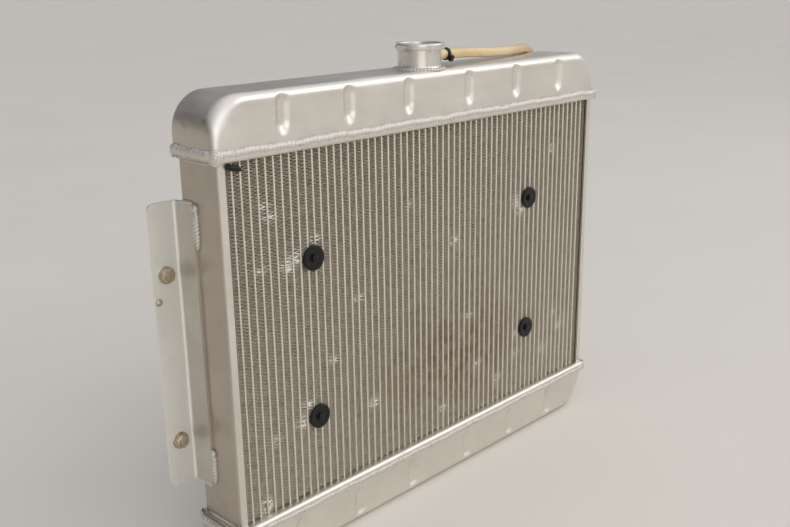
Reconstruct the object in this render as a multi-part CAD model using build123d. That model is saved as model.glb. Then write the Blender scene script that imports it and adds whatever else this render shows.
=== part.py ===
from build123d import *
import math
import os

# Aluminium down-flow radiator with an electric puller fan, in millimetres.
# X runs to the right as seen from the front, Y to the rear and Z up.
# The origin is the centre of the four frame bolts, on the rear face of the side angles.

# Core
tube_count = 59
tube_pitch = 10.05
tube_thick = 2.4
tube_depth = 56.0
tube_nose = 0.6
tube_end = 3.0
slot_fit = 0.1
core_height = 384.0
core_centre_z = 15.0
fin_setback = 1.0
side_plate_wall = 1.5

# Side channels and side angles
channel_wall = 2.5
channel_depth = 62.0
channel_flange = 9.5
channel_bend_r = 3.0
channel_rear_y = -11.0
angle_wall = 3.0
angle_web_front = -33.0
angle_flange = 33.5
angle_length = 304.0
angle_centre_z = 12.0
angle_bend_r = 3.0
bolt_spacing_x = 660.0
bolt_spacing_z = 181.0
bolt_hole_r = 4.5

# Headers and tanks
header_wall = 3.0
header_rim = 11.0
header_overhang_x = 7.0
header_overhang_y = 7.0
header_corner_r = 12.0
header_bend_r = 5.0
tank_fit = 0.2
tank_wall = 2.5
tank_height = 60.0
tank_end_r = 38.0
tank_edge_r = 9.0
tank_inner_cut = 4.0
groove_places = (51.5, 141.0, 230.0)
groove_r = 8.0
groove_depth = 4.0
groove_low = 23.0
groove_top_margin = 6.0
bead_height = 4.0
bead_round = 1.6

# Filler neck and overflow
neck_r = 25.0
neck_wall = 2.0
neck_height = 28.5
neck_fit = 0.2
neck_tail = 2.0
cap_flange_r = 29.0
cap_lip = 1.6
cap_skirt = 7.0
cap_notch = 14.0
cap_notch_angle = 147.0
seat_drop = 18.0
seat_hole_r = 17.0
seat_wall = 1.6
stop_angle = 251.0
neck_bead = 2.0
nipple_height = 13.0
nipple_r = 3.9
nipple_bore_r = 2.6
nipple_reach = 27.0
nipple_barb = 0.5
hose_r = 6.0
hose_fit = 0.2
hose_start = 4.0
tie_place = 16.5
tie_width = 4.6
tie_thick = 1.4
tie_head = 7.0

# Coolant necks and drain
inlet_x = -240.0
inlet_r = 19.0
outlet_x = 240.0
outlet_r = 19.0
hose_neck_wall = 2.5
hose_neck_step = 0.5
hose_neck_foot = 5.0
hose_neck_reach = 45.0
hose_neck_drop = 26.5
drain_x = -250.0
drain_r = 7.0
drain_reach = 24.0
drain_drop = 20.0
drain_wing = 22.0

# Fan
fan_x = -10.05
fan_z = 2.0
fan_tie_spacing_x = 371.85
fan_tie_spacing_z = 180.0
shroud_inner_r = 168.0
shroud_wall = 4.0
shroud_front_y = -8.0
shroud_depth = 46.0
lug_r = 13.0
lug_wall = 4.0
lug_hole_r = 2.6
strut_count = 8
strut_width = 9.0
strut_depth = 5.0
motor_plate_r = 52.0
motor_r = 46.0
motor_length = 30.0
motor_edge_r = 5.0
shaft_r = 5.0
shaft_fit = 0.05
shaft_length = 26.0
hub_r = 55.0
hub_wall = 3.0
hub_front_y = 2.0
hub_depth = 18.0
hub_edge_r = 4.0
blade_count = 8
blade_tip_gap = 6.0
blade_thick = 2.6
blade_root_chord = 34.0
blade_tip_chord = 46.0
blade_root_pitch = 38.0
blade_tip_pitch = 22.0
blade_sweep = 14.0
tie_button_r = 13.8
tie_button_thick = 3.5
tie_stud_r = 4.2
tie_stud_height = 2.5
tie_rod_r = 1.6
tie_seat = 0.3
tie_lock_r = 9.0
tie_lock_thick = 4.0
pad_r = 12.0

# Places that follow from the sizes above
core_width = (tube_count + 1) * tube_pitch
core_top = core_centre_z + core_height / 2
core_bottom = core_centre_z - core_height / 2
channel_out_x = core_width / 2 + channel_flange
core_y = channel_rear_y - channel_depth / 2
tube_front_y = core_y - tube_depth / 2
tube_rear_y = core_y + tube_depth / 2
header_x = channel_out_x + header_overhang_x
header_y = channel_depth / 2 + header_overhang_y
tank_x = header_x - header_wall - tank_fit
tank_y = header_y - header_wall - tank_fit
tank_top = core_top + header_wall + tank_height
tank_rear_y = core_y + tank_y
nipple_z = tank_top + nipple_height
side_plate_x = core_width / 2 - tube_thick / 2
angle_out_x = channel_out_x + angle_flange
tube_places = [(i - (tube_count - 1) / 2) * tube_pitch for i in range(tube_count)]
tie_places = [
    (fan_x + sx * fan_tie_spacing_x / 2, fan_z + sz * fan_tie_spacing_z / 2)
    for sx in (-1, 1)
    for sz in (-1, 1)
]
blade_tip_r = shroud_inner_r - blade_tip_gap
strut_front_y = shroud_front_y + shroud_depth - strut_depth
motor_front_y = shroud_front_y + shroud_depth

# The hose lies on the top tank and hangs down behind it: points of its centre line
hose_route = [
    (neck_r + hose_start, core_y, nipple_z),
    (neck_r + 50.0, core_y, nipple_z),
    (130.0, -38.0, 279.0),
    (190.0, -28.0, 277.0),
    (236.0, -13.0, 279.0),
    (272.0, 6.0, 268.0),
    (289.0, 20.0, 232.0),
    (291.0, 26.0, 180.0),
    (286.0, 25.0, 112.0),
    (289.0, 22.0, 40.0),
    (285.0, 24.0, -30.0),
]


def one(shapes):
    """Several solids as one shape."""
    return Compound(children=list(shapes))


def upright_prism(face_half_x, face_half_y, corner_r, low, high):
    """A rounded rectangle around the core's axis, from one height to another."""
    outline = RectangleRounded(2 * face_half_x, 2 * face_half_y, corner_r)
    return extrude(Pos(0, core_y, low) * outline, high - low)


def tube_outline(grow):
    """A flat tube's section with its nose edges taken off."""
    outline = Rectangle(tube_thick + 2 * grow, tube_depth + 2 * grow)
    return chamfer(outline.vertices(), tube_nose)


def mirrored_down(shape):
    """The same piece at the core's other end."""
    return shape.mirror(Plane.XY.offset(core_centre_z))


def core_tubes():
    low = core_bottom - header_wall - tube_end
    length = core_height + 2 * (header_wall + tube_end)
    tube = extrude(tube_outline(0), length)
    return one(Pos(x, core_y, low) * tube for x in tube_places)


def core_fins():
    gap = tube_pitch - tube_thick
    slab = Box(gap, tube_depth - 2 * fin_setback, core_height)
    tie_hole = Rot(90, 0, 0) * Cylinder(tie_rod_r + tie_seat, channel_depth)
    slabs = []
    for i in range(tube_count + 1):
        x = (i - tube_count / 2) * tube_pitch
        bank = Pos(x, core_y, core_centre_z) * slab
        for tie_x, tie_z in tie_places:
            if abs(tie_x - x) < gap / 2:
                bank -= Pos(tie_x, core_y, tie_z) * tie_hole
        slabs.append(bank)
    return one(slabs)


def core_side_plates():
    plate = Box(side_plate_wall, tube_depth - 2 * fin_setback, core_height)
    x = side_plate_x + side_plate_wall / 2
    return one(Pos(side * x, core_y, core_centre_z) * plate for side in (-1, 1))


def header():
    """The upper header: a pan with an upright rim and a slot for each tube."""
    floor = core_top + header_wall
    rim = core_top + header_rim
    inside_r = header_corner_r - header_wall
    pan = upright_prism(header_x, header_y, header_corner_r, core_top, rim)
    pan = fillet(pan.edges().group_by(Axis.Z)[0], header_bend_r)
    pan -= upright_prism(header_x - header_wall, header_y - header_wall, inside_r, floor, rim)
    slot = extrude(tube_outline(slot_fit), 3 * header_wall)
    return pan - [Pos(x, core_y, core_top - header_wall) * slot for x in tube_places]


def tank_block(inset):
    """The stamped tank's outer form, or its inside when inset by the wall."""
    half_x = tank_x - inset
    half_y = tank_y - inset
    height = tank_height - inset
    outline = Rectangle(2 * half_x, height, align=(Align.CENTER, Align.MIN))
    outline = fillet(outline.vertices().group_by(Axis.Y)[-1], tank_end_r - inset)
    block = extrude(Plane.XZ * outline, half_y, both=True)
    rims = [e for e in block.edges() if abs(abs(e.center().Y) - half_y) < 0.01 and e.center().Z > 0.01]
    block = chamfer(rims, tank_inner_cut) if inset else fillet(rims, tank_edge_r)
    groove_height = tank_height - groove_top_margin - groove_low
    radius = groove_r + inset
    upper = Align.CENTER, Align.CENTER, Align.MIN
    lower = Align.CENTER, Align.CENTER, Align.MAX
    groove = Cylinder(radius, groove_height, align=upper)
    groove += Cone(0, radius, radius, align=lower)
    groove += Pos(0, 0, groove_height) * Cone(radius, 0, radius, align=upper)
    y = tank_y + groove_r - groove_depth
    places = [(sx * x, sy * y) for x in groove_places for sx in (-1, 1) for sy in (-1, 1)]
    block -= [Pos(x, gy, groove_low) * groove for x, gy in places]
    return Pos(0, core_y, core_top + header_wall) * block


def hose_neck_hole(x, drop, radius):
    """The hole that a neck on the tank's rear face passes through."""
    hole = Cylinder(radius + neck_fit, 4 * tank_wall)
    return Pos(x, tank_rear_y, tank_top - drop) * Rot(90, 0, 0) * hole


def tank():
    """The hollow tank, open towards its header."""
    return tank_block(0) - tank_block(tank_wall)


def top_tank():
    filler_hole = Pos(0, core_y, tank_top) * Cylinder(neck_r + neck_fit, 4 * tank_wall)
    return tank() - filler_hole - hose_neck_hole(inlet_x, hose_neck_drop, inlet_r - hose_neck_step)


def bottom_tank():
    holes = hose_neck_hole(outlet_x, hose_neck_drop, outlet_r - hose_neck_step)
    holes += hose_neck_hole(drain_x, drain_drop, drain_r)
    return mirrored_down(tank() - holes)


def header_bead():
    """The weld between the rim and the tank, as a plain rounded band."""
    low = core_top + header_rim
    band = upright_prism(header_x - 0.4, header_y - 0.4, header_corner_r - 0.4, low, low + bead_height)
    band = chamfer(band.edges().group_by(Axis.Z)[-1], bead_round)
    return band - upright_prism(tank_x, tank_y, tank_edge_r, low, low + bead_height)


def ring(outer_r, inner_r, low, high):
    """A plain ring around Z."""
    band = Cylinder(outer_r, high - low) - Cylinder(inner_r, high - low)
    return Pos(0, 0, (low + high) / 2) * band


def collar(radius):
    """A weld around a neck, resting on the surface at its foot."""
    outline = Polygon((0, 0), (neck_bead, 0), (0, neck_bead), align=None)
    return revolve(Plane.XZ * Pos(radius, 0) * outline, Axis.Z)


def weld_beads():
    band = header_bead()
    filler = Pos(0, core_y, tank_top) * collar(neck_r)
    inlet = Pos(inlet_x, tank_rear_y, tank_top - hose_neck_drop) * Rot(-90, 0, 0) * collar(inlet_r - hose_neck_step)
    outlet_z = 2 * core_centre_z - tank_top + hose_neck_drop
    outlet = Pos(outlet_x, tank_rear_y, outlet_z) * Rot(-90, 0, 0) * collar(outlet_r - hose_neck_step)
    return one([band, mirrored_down(band), filler, inlet, outlet])


def side_channel(side):
    """A channel that is open towards the core, its flanges in front of and behind the fins."""
    outline = Rectangle(channel_flange, channel_depth, align=(Align.MIN, Align.CENTER))
    outline = fillet(outline.vertices().group_by(Axis.X)[-1], channel_bend_r)
    inner_depth = channel_depth - 2 * channel_wall
    hollow = Rectangle(channel_flange - channel_wall, inner_depth, align=(Align.MIN, Align.CENTER))
    bar = extrude(outline - hollow, core_height)
    bar = Pos(core_width / 2, core_y, core_bottom) * bar
    return bar if side > 0 else bar.mirror(Plane.YZ)


def side_angle(side):
    """The angle that bolts to the frame: its web on the channel, its flange outwards."""
    web = Pos(channel_out_x, angle_web_front) * Rectangle(angle_wall, -angle_web_front, align=Align.MIN)
    flange = Pos(channel_out_x, -angle_wall) * Rectangle(angle_flange, angle_wall, align=Align.MIN)
    outline = web + flange
    bend_x = channel_out_x + angle_wall
    bend = [v for v in outline.vertices() if abs(v.X - bend_x) < 0.01 and abs(v.Y + angle_wall) < 0.01]
    outline = fillet(bend, angle_bend_r)
    bar = Pos(0, 0, angle_centre_z - angle_length / 2) * extrude(outline, angle_length)
    corners = [e for e in bar.edges() if abs(e.center().X - angle_out_x) < 0.01 and e.length < 2 * angle_wall]
    bar = fillet(corners, 2 * angle_wall)
    hole = Rot(90, 0, 0) * Cylinder(bolt_hole_r, 4 * angle_wall)
    bar -= [Pos(bolt_spacing_x / 2, 0, sz * bolt_spacing_z / 2) * hole for sz in (-1, 1)]
    return bar if side > 0 else bar.mirror(Plane.YZ)


def filler_neck():
    """The filler neck with its seat and the notched, turned-down flange that a cap grips."""
    body = ring(neck_r, neck_r - neck_wall, -tank_wall - neck_tail, neck_height)
    body += ring(cap_flange_r, neck_r - neck_wall, neck_height - cap_lip, neck_height)
    body += ring(cap_flange_r, cap_flange_r - cap_lip, neck_height - cap_skirt, neck_height)
    seat_z = neck_height - seat_drop
    body += ring(neck_r, seat_hole_r, seat_z - seat_wall, seat_z)
    gap = cap_flange_r - neck_r
    notch = Box(gap, cap_notch, 2 * cap_skirt)
    for turn in (0, 180):
        body -= Rot(0, 0, cap_notch_angle + turn) * Pos(neck_r + gap / 2 + 0.4, 0, neck_height) * notch
    stop = Pos(neck_r + gap / 2, 0, neck_height - cap_skirt) * Box(gap, 3.0, 3.0)
    body += Rot(0, 0, stop_angle) * stop
    nipple_hole = Pos(neck_r, 0, nipple_height) * Rot(0, 90, 0) * Cylinder(nipple_r, 4 * neck_wall)
    return Pos(0, core_y, tank_top) * (body - nipple_hole)


def overflow_nipple():
    start = neck_r - neck_wall
    tube = Cylinder(nipple_r, nipple_reach, align=(Align.CENTER, Align.CENTER, Align.MIN))
    barb = Cone(nipple_r + nipple_barb, nipple_r, 3.0, align=(Align.CENTER, Align.CENTER, Align.MIN))
    tube += Pos(0, 0, nipple_reach - 3.0) * barb
    tube -= Cylinder(nipple_bore_r, 3 * nipple_reach)
    return Pos(start, core_y, nipple_z) * Rot(0, 90, 0) * tube


def bend_radii(points):
    """A radius for each bend that leaves a straight piece of every run."""
    radii = []
    for a, b, c in zip(points, points[1:], points[2:]):
        first = Vector(*b) - Vector(*a)
        second = Vector(*c) - Vector(*b)
        turn = math.radians(first.get_angle(second))
        radii.append(0.45 * min(first.length, second.length) / math.tan(turn / 2))
    return radii


def overflow_hose():
    radii = bend_radii(hose_route)
    print("hose bend radii", [round(r, 1) for r in radii])
    route = FilletPolyline(*hose_route, radius=radii)
    print("hose length", round(route.length, 1))
    hose = sweep(Plane(origin=route @ 0, z_dir=route % 0) * Circle(hose_r), path=route)
    reach = neck_r - neck_wall + nipple_reach + 1.0
    socket = Cylinder(nipple_r + nipple_barb + hose_fit, 2 * (reach - neck_r - hose_start))
    return hose - Pos(neck_r + hose_start, core_y, nipple_z) * Rot(0, 90, 0) * socket


def hose_tie():
    strap = ring(hose_r + hose_fit + tie_thick, hose_r + hose_fit, -tie_width / 2, tie_width / 2)
    head = Pos(hose_r + tie_thick + tie_head / 2 - 1.0, 0, 0) * Box(tie_head, tie_head, tie_width + 0.8)
    clear = Cylinder(hose_r + hose_fit, 2 * tie_head)
    tie = strap + head - clear
    x = neck_r + hose_start + tie_place
    return Pos(x, core_y, nipple_z) * Rot(0, 90, 0) * Rot(0, 0, -60) * tie


def hose_neck(x, z, radius):
    """A neck for a coolant hose, a little slimmer where it passes through the tank's wall."""
    start = -tank_wall - neck_tail
    pipe = ring(radius, radius - hose_neck_wall, hose_neck_foot, hose_neck_reach)
    pipe += ring(radius - hose_neck_step, radius - hose_neck_wall, start, hose_neck_foot)
    return Pos(x, tank_rear_y, z) * Rot(-90, 0, 0) * pipe


def inlet_neck():
    return hose_neck(inlet_x, tank_top - hose_neck_drop, inlet_r)


def outlet_neck():
    return hose_neck(outlet_x, 2 * core_centre_z - tank_top + hose_neck_drop, outlet_r)


def drain_cock():
    """A small brass tap, low on the bottom tank."""
    body = Cylinder(drain_r, drain_reach, align=(Align.CENTER, Align.CENTER, Align.MIN))
    nut = extrude(RegularPolygon(drain_r + 3.5, 6), 6.0)
    wing = Pos(0, 0, drain_reach) * Box(drain_wing, 3.0, 10.0)
    spout = Pos(0, drain_r, drain_reach / 2) * Rot(90, 0, 0) * Cylinder(3.5, 2 * drain_r)
    tap = Pos(0, 0, -tank_wall - neck_tail) * body + nut + wing
    tap += spout
    z = 2 * core_centre_z - tank_top + drain_drop
    return Pos(drain_x, tank_rear_y, z) * Rot(-90, 0, 0) * tap


def at_fan(y):
    """A place on the fan's axis, with local Z pointing to the rear."""
    return Pos(fan_x, y, fan_z) * Rot(-90, 0, 0)


def fan_shroud():
    """The ring around the blades, its lugs on the core and the struts that carry the motor."""
    outer_r = shroud_inner_r + shroud_wall
    frame = ring(outer_r, shroud_inner_r, 0, shroud_depth)
    plate_low = shroud_depth - strut_depth
    frame += ring(motor_plate_r, shaft_r * 2, plate_low, shroud_depth)
    reach = shroud_inner_r + shroud_wall / 2 - motor_plate_r + 4.0
    strut = Box(reach, strut_width, strut_depth)
    strut = Pos(motor_plate_r - 4.0 + reach / 2, 0, plate_low + strut_depth / 2) * strut
    for i in range(strut_count):
        frame += Rot(0, 0, (i + 0.5) * 360 / strut_count) * strut
    lug_distance = math.hypot(fan_tie_spacing_x / 2, fan_tie_spacing_z / 2)
    arm_length = lug_distance - shroud_inner_r - shroud_wall / 2
    for sx in (-1, 1):
        for sz in (-1, 1):
            turn = math.degrees(math.atan2(-sz * fan_tie_spacing_z, sx * fan_tie_spacing_x))
            arm = Pos(lug_distance - arm_length / 2, 0, lug_wall / 2) * Box(arm_length, 2 * lug_r, lug_wall)
            lug = arm + Pos(lug_distance, 0, lug_wall / 2) * Cylinder(lug_r, lug_wall)
            frame += Rot(0, 0, turn) * (lug - Pos(lug_distance, 0, 0) * Cylinder(lug_hole_r, 4 * lug_wall))
    return at_fan(shroud_front_y) * frame


def fan_motor():
    """The motor behind the struts, with the shaft that the hub turns on."""
    can = Cylinder(motor_r, motor_length, align=(Align.CENTER, Align.CENTER, Align.MIN))
    can = chamfer(can.edges().group_by(Axis.Z)[-1], motor_edge_r)
    can += Pos(0, 0, motor_length) * Cylinder(motor_r / 3, 8.0)
    back = strut_depth + shaft_length
    shaft = Cylinder(shaft_r, back, align=(Align.CENTER, Align.CENTER, Align.MAX))
    return at_fan(motor_front_y) * (can + shaft)


def fan_hub():
    cup = Cylinder(hub_r, hub_depth, align=(Align.CENTER, Align.CENTER, Align.MIN))
    cup = chamfer(cup.edges().group_by(Axis.Z)[0], hub_edge_r)
    hollow = Cylinder(hub_r - hub_wall, hub_depth, align=(Align.CENTER, Align.CENTER, Align.MIN))
    cup -= Pos(0, 0, hub_wall) * hollow
    boss = Cylinder(2.4 * shaft_r, hub_depth - hub_wall, align=(Align.CENTER, Align.CENTER, Align.MIN))
    cup += Pos(0, 0, hub_wall) * boss
    bore_low = motor_front_y - strut_depth - shaft_length - hub_front_y - 0.4
    bore = Cylinder(shaft_r + shaft_fit, hub_depth, align=(Align.CENTER, Align.CENTER, Align.MIN))
    return at_fan(hub_front_y) * (cup - Pos(0, 0, bore_low) * bore)


def blade_section(radius, chord, pitch, sweep_angle):
    """One section of a blade, square to its own radius."""
    place = Rot(0, 0, sweep_angle) * Plane(origin=(radius, 0, 0), x_dir=(0, 1, 0), z_dir=(1, 0, 0))
    return place * Rot(0, 0, pitch) * Rectangle(chord, blade_thick)


def fan_blades():
    """Pitched, swept blades, each from the hub's wall to the ring's running gap."""
    root = blade_section(hub_r - hub_wall / 2, blade_root_chord, blade_root_pitch, 0)
    tip = blade_section(blade_tip_r - 1.0, blade_tip_chord, blade_tip_pitch, blade_sweep)
    blade = loft([root, tip], ruled=True)
    blade -= Cylinder(hub_r, 4 * hub_depth)
    middle = at_fan(hub_front_y + hub_depth / 2 + 1.0)
    return one(middle * Rot(0, 0, i * 360 / blade_count) * blade for i in range(blade_count))


def fan_ties():
    """Push-through ties: a button on the core's face and a rod to the fan's lug."""
    front = tube_front_y - tie_seat
    rear = shroud_front_y + lug_wall + tie_lock_thick + 2.0
    button = Cylinder(tie_button_r, tie_button_thick, align=(Align.CENTER, Align.CENTER, Align.MAX))
    button = chamfer(button.edges().group_by(Axis.Z)[0], 1.2)
    button += Pos(0, 0, -tie_button_thick) * Cylinder(tie_stud_r, 2 * tie_stud_height)
    button += Cylinder(tie_rod_r, rear - front, align=(Align.CENTER, Align.CENTER, Align.MIN))
    return one(Pos(x, front, z) * Rot(-90, 0, 0) * button for x, z in tie_places)


def fan_tie_locks():
    lock = ring(tie_lock_r, tie_rod_r, 0, tie_lock_thick)
    return one(Pos(x, shroud_front_y + lug_wall, z) * Rot(-90, 0, 0) * lock for x, z in tie_places)


def fan_pads():
    """Foam pads that keep the lugs off the core."""
    front = tube_rear_y + tie_seat
    pad = ring(pad_r, lug_hole_r, 0, shroud_front_y - front)
    return one(Pos(x, front, z) * Rot(-90, 0, 0) * pad for x, z in tie_places)


nodes = {
    "core_tubes": core_tubes,
    "core_fins": core_fins,
    "core_side_plates": core_side_plates,
    "top_header": header,
    "bottom_header": lambda: mirrored_down(header()),
    "top_tank": top_tank,
    "bottom_tank": bottom_tank,
    "weld_beads": weld_beads,
    "side_channel_left": lambda: side_channel(-1),
    "side_channel_right": lambda: side_channel(1),
    "side_angle_left": lambda: side_angle(-1),
    "side_angle_right": lambda: side_angle(1),
    "filler_neck": filler_neck,
    "overflow_nipple": overflow_nipple,
    "overflow_hose": overflow_hose,
    "hose_tie": hose_tie,
    "inlet_neck": inlet_neck,
    "outlet_neck": outlet_neck,
    "drain_cock": drain_cock,
    "fan_shroud": fan_shroud,
    "fan_motor": fan_motor,
    "fan_ties": fan_ties,
    "fan_tie_locks": fan_tie_locks,
    "fan_pads": fan_pads,
    "fan_hub": fan_hub,
    "fan_blades": fan_blades,
}

os.makedirs("parts", exist_ok=True)
for name, make in nodes.items():
    export_step(make(), f"parts/{name}.step")
    print(name)
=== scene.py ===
import math
import random

import bmesh
import bpy
from mathutils import Matrix, Vector


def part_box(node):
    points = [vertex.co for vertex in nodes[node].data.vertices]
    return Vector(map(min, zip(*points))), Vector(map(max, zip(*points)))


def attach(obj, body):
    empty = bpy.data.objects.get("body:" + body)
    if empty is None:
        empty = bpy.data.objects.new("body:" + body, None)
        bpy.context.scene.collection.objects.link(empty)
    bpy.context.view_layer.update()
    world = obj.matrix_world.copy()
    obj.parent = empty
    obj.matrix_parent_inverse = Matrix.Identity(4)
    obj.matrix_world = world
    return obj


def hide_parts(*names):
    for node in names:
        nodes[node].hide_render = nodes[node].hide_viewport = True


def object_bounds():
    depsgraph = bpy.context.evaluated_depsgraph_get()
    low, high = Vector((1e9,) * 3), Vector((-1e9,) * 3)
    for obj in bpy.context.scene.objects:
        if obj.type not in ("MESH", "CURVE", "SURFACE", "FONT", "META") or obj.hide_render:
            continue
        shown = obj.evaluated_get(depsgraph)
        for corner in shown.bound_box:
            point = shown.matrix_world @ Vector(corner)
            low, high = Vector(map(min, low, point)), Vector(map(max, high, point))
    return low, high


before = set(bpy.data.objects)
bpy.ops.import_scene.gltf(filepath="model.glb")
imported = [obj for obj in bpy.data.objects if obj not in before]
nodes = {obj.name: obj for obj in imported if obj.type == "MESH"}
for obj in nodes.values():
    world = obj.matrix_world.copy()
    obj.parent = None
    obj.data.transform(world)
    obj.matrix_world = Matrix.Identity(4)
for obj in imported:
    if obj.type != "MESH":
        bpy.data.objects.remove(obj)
cad_low, cad_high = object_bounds()

# Sizes are in metres. X runs to the right seen from the front, Y to the rear, Z up.
MM = 0.001
ROOT = "radiator"
FAN = "fan"


def corners(node):
    """A CAD node's lowest and highest corners as vectors."""
    low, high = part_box(node)
    return Vector(low), Vector(high)


# Places read from the frame
header_low, header_high = corners("top_header")
tank_low, tank_high = corners("top_tank")
base_low, base_high = corners("bottom_header")
sump_low, sump_high = corners("bottom_tank")
core_low, core_high = corners("core_fins")
tube_low, tube_high = corners("core_tubes")
angle_low, angle_high = corners("side_angle_left")
channel_low, channel_high = corners("side_channel_left")
neck_low, neck_high = corners("filler_neck")
hose_neck_ends = (corners("inlet_neck"), corners("outlet_neck"))
button_low, button_high = corners("fan_ties")
blade_low, blade_high = corners("fan_blades")
core_y = (tank_low.y + tank_high.y) / 2
channel_out = -channel_low.x

# Tubes and fins
TUBES = 59
PITCH = 10.05 * MM
TUBE_THICK = 2.4 * MM
TUBE_STEPS = 24
FIN_BEND = 0.55 * MM
FIN_RISE = 1.25 * MM
FIN_LIP = 0.24 * MM
FIN_SOFT = 3.6 * MM
FIN_FILL = 0.985

# The patch of dried mud on the fins
MUD_X = 35 * MM
MUD_Z = -88 * MM
MUD_WIDE = 115 * MM
MUD_HIGH = 78 * MM

# Headers and tanks
HEADER_CORNER = 12 * MM
TANK_END = 38 * MM
TANK_EDGE = 9 * MM
TANK_FOOT_EDGE = 5.5 * MM
TANK_CORNER_EDGE = 17 * MM
TANK_CORNER_TURN = 34
TANK_REAR_EDGE = 4 * MM
TANK_CROWN = 1.5 * MM
TANK_FRONT_INSET = 2.4 * MM
FACE_DENT = 1.2 * MM
END_DENT = 1.4 * MM
SKIN_COLUMNS = 420
SKIN_ROWS = 30
EDGE_STEPS = 9
END_STEPS = 16
ACROSS_STEPS = 14
GROOVES = (-230 * MM, -141 * MM, -51.5 * MM, 51.5 * MM, 141 * MM, 230 * MM)
GROOVE_DEPTH = 3.9 * MM
GROOVE_FLAT = 2.6 * MM
GROOVE_SHOULDER = 7.6 * MM
GROOVE_LOW = 29.5 * MM
GROOVE_TOP_GAP = 13.5 * MM
GROOVE_FADE = 5 * MM
GROOVE_STRETCH = 0.62

# Welds
BEAD_PITCH = 4.8 * MM
BEAD_WIDE = 3.4 * MM
BEAD_HIGH = 4.0 * MM
BEAD_DROP = 2.4 * MM
BEAD_INSET = 2.4 * MM
BEAD_STEP_TOP = 0.6 * MM
BEAD_STEP_LOW = 0.9 * MM
BEAD_AROUND = 16
NECK_BEAD = 1.9 * MM

# Necks and hose
NECK_R = 25 * MM
NECK_WALL = 2 * MM
CAP_R = 29 * MM
CAP_LIP = 1.6 * MM
CAP_SKIRT = 7 * MM
SEAT_R = 17 * MM
SEAT_DEPTH = 18 * MM
HOSE_NECK_R = 19 * MM
HOSE_NECK_WALL = 2.5 * MM
HOSE_R = 6 * MM

# Bolts and ties
FLANGE_THICK = 3 * MM
BOLT_X = 330 * MM
BOLT_Z = 90.5 * MM
BOLT_FLANGE_R = 8.6 * MM
BOLT_HEX_R = 6.7 * MM
BOLT_HEAD = 6.4 * MM
BUTTON_R = 13.8 * MM

# Fan
BLADES = 8
BLADE_ROOT_R = 54 * MM
BLADE_HALF_THICK = 1.15 * MM
BLADE_CROWN = 1.6 * MM

# Swirls where the header welds end: side in X, side in Y and radius in millimetres
SWIRLS = ((-1, -1, 8.2), (1, -1, 6.5), (-1, 1, 6.5), (1, 1, 6.0))

# Welds down the angles' corners: Z of the low end, the high end and the dab, in millimetres
WEB_WELDS = ((119, 160, 160), (-137, -101, -102))

# Scrapes on the top tank: X, Y, Z and radius in millimetres
SCUFFS = (
    (-311, -32, 240, 3.0), (-310, -27, 244, 2.4), (-312, -24, 236, 2.0), (-142, -76, 262, 2.2),
    (-311, -60, 246, 1.5),
)

# Bent patches of fins on the front face: X, Z and radius in millimetres
BENT_PATCHES = (
    (-255.7, 157, 5), (-248, 145.5, 5.5), (228, 149, 6), (31, 63, 5), (-47, 122, 4), (-131, 31, 4),
    (-256, -96, 5), (-109, -103, 6), (78, -111, 6), (158, -122, 6), (217, -133, 7), (121, -144, 5),
    (257, -108, 6), (246, -84, 5), (-215.7, 96, 8), (-228, 90, 7), (-262.6, 93, 4), (-189, 111.5, 5),
    (157, 90, 10), (163, 78, 8), (-214, -88, 9), (-208, -72, 6), (160, -92, 8), (-272, -166, 8),
    (60, -40, 4), (-170, -30, 4), (10, -150, 5),
)


# Shader helpers

class Graph:
    """A small builder for a node tree, with the coordinates that its nodes start from."""

    def __init__(self, tree, coordinates):
        self.tree = tree
        self.place = self.node("ShaderNodeTexCoord").outputs[coordinates]

    def node(self, kind, **values):
        """A new node; each value goes to the input of its name, or else to the property."""
        made = self.tree.nodes.new(kind)
        for key, value in values.items():
            if key in made.inputs:
                made.inputs[key].default_value = value
            else:
                setattr(made, key, value)
        return made

    def link(self, source, target):
        self.tree.links.new(source, target)

    def stretched(self, x, y, z):
        """The coordinates, scaled by a factor for each axis."""
        mapping = self.node("ShaderNodeMapping", Scale=(x, y, z))
        self.link(self.place, mapping.inputs["Vector"])
        return mapping.outputs["Vector"]

    def axis(self, name):
        """The coordinate along one axis."""
        split = self.node("ShaderNodeSeparateXYZ")
        self.link(self.place, split.inputs["Vector"])
        return split.outputs[name]

    def noise(self, scale, detail=4, roughness=0.6, place=None):
        made = self.node("ShaderNodeTexNoise", Scale=scale, Detail=detail, Roughness=roughness)
        self.link(place or self.place, made.inputs["Vector"])
        return made.outputs["Fac"]

    def patches(self, scale, detail, roughness, low, high, place=None):
        """Noise cut into soft patches between two of its levels."""
        return self.steps(self.noise(scale, detail, roughness, place), low, high)

    def steps(self, value, low, high, out_low=0.0, out_high=1.0):
        """A value mapped from one range to another and clamped."""
        limits = {"From Min": low, "From Max": high, "To Min": out_low, "To Max": out_high}
        made = self.node("ShaderNodeMapRange", **limits)
        self.link(value, made.inputs["Value"])
        return made.outputs["Result"]

    def math(self, operation, a, b=0.0):
        made = self.node("ShaderNodeMath", operation=operation)
        for i, value in enumerate((a, b)):
            if isinstance(value, (int, float)):
                made.inputs[i].default_value = value
            else:
                self.link(value, made.inputs[i])
        return made.outputs["Value"]

    def times(self, a, b):
        return self.math("MULTIPLY", a, b)

    def plus(self, a, b):
        return self.math("ADD", a, b)

    def mix(self, factor, a, b):
        """A colour between two, each a triple or a socket."""
        made = self.node("ShaderNodeMix", data_type="RGBA")
        self.link(factor, made.inputs[0])
        for i, value in ((6, a), (7, b)):
            if isinstance(value, tuple):
                made.inputs[i].default_value = (*value, 1.0)
            else:
                self.link(value, made.inputs[i])
        return made.outputs[2]

    def attribute(self, name):
        return self.node("ShaderNodeAttribute", attribute_name=name).outputs["Fac"]


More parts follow.
